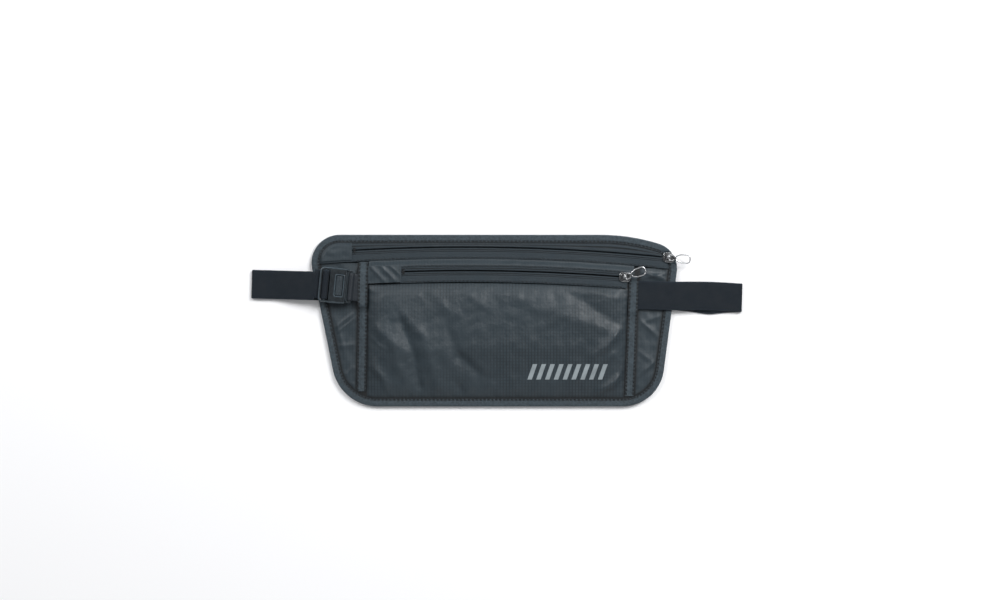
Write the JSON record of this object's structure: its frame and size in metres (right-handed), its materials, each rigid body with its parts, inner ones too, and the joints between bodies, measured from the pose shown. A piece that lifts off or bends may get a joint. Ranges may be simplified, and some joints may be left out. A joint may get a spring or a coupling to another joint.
{
  "type": "money belt",
  "caption": "Flat elastic-strapped travel pouch with two zipped pockets, worn round the waist under clothing.",
  "frame": {"origin": "middle of the bounding box, on the surface that the pouch lies on with its back down", "axes": "+X to the pouch's right along the waist strap, +Y to its top edge, +Z out of its front"},
  "size_m": [0.3764, 0.1316, 0.0115],
  "materials": {
    "ripstop_cloth": "fine ripstop nylon with a faint sheen",
    "pouch_cloth": "plain nylon with a faint sheen",
    "lining_cloth": "thin matt lining",
    "binding_tape": "ribbed polyester tape, matt",
    "zip_tape": "knitted zip tape, matt",
    "zip_coil": "nylon coil",
    "sewing_thread": "polyester thread",
    "zip_metal": "bright nickel plate",
    "strap_elastic": "woven elastic, matt, fine ribs across",
    "strap_webbing": "thin woven webbing, matt",
    "buckle_plastic": "moulded acetal, satin"
  },
  "bodies": {
    "root": {"back_panel": "pouch_cloth", "inner_panel": "lining_cloth", "side_panel_left": "pouch_cloth", "side_panel_right": "pouch_cloth", "zip_strip": "pouch_cloth", "front_face": "ripstop_cloth", "edge_binding": "binding_tape", "seam_tape_left": "binding_tape", "seam_tape_right": "binding_tape", "main_tape_upper": "zip_tape", "main_tape_lower": "zip_tape", "main_coil_upper": "zip_coil", "main_coil_lower": "zip_coil", "front_tape_upper": "zip_tape", "front_tape_lower": "zip_tape", "front_coil_upper": "zip_coil", "front_coil_lower": "zip_coil", "zip_end_patch": "pouch_cloth", "pocket_end_tab": "pouch_cloth", "zip_stops": "sewing_thread", "waist_strap": "strap_elastic", "strap_front_left": "strap_elastic", "anchor_webbing": "strap_webbing", "buckle_tongue": "buckle_plastic"},
    "main_slider": {"main_slider": "zip_metal"},
    "main_link": {"main_link": "zip_metal"},
    "main_puller": {"main_puller": "zip_metal"},
    "front_slider": {"front_slider": "zip_metal"},
    "front_link": {"front_link": "zip_metal"},
    "front_puller": {"front_puller": "zip_metal"},
    "buckle_frame": {"buckle_frame": "buckle_plastic", "strap_adjuster_loop": "strap_elastic"},
    "release_lug": {"release_lug": "buckle_plastic"}
  },
  "joints": [
    {"name": "main_zip_close", "type": "hinge", "parent": "root", "child": "main_slider", "pos_m": [-0.0238, -1.4688, 0.00675], "axis": [0, 0, 1], "range_deg": [0, 8.8]},
    {"name": "main_link_flip", "type": "hinge", "parent": "main_slider", "child": "main_link", "pos_m": [0.1312, 0.0483, 0.00675], "axis": [-0.1016, -0.9948, 0], "range_deg": [0, 175]},
    {"name": "main_puller_swing", "type": "hinge", "parent": "main_link", "child": "main_puller", "pos_m": [0.13538, 0.04788, 0.00675], "axis": [0.1016, 0.9948, 0], "range_deg": [-80, 0]},
    {"name": "front_zip_close", "type": "hinge", "parent": "root", "child": "front_slider", "pos_m": [-0.0238, -1.4688, 0.00975], "axis": [0, 0, 1], "range_deg": [0, 6.2]},
    {"name": "front_link_flip", "type": "hinge", "parent": "front_slider", "child": "front_link", "pos_m": [0.0976, 0.0333, 0.00975], "axis": [0.3318, -0.9433, 0], "range_deg": [0, 175]},
    {"name": "front_puller_swing", "type": "hinge", "parent": "front_link", "child": "front_puller", "pos_m": [0.10156, 0.0347, 0.00975], "axis": [-0.3318, 0.9433, 0], "range_deg": [-80, 0]},
    {"name": "buckle_slide", "type": "slide", "parent": "root", "child": "buckle_frame", "axis": [-0.9954, 0.0958, 0], "range_m": [0, 0.015], "deforming": ["strap_front_left"]},
    {"name": "lug_press", "type": "slide", "parent": "root", "child": "release_lug", "axis": [0, 0, -1], "range_m": [0, 0.0012]}
  ],
  "couplings": [
    {"joint": "lug_press", "follows": "buckle_slide", "ratio": 0.08}
  ]
}
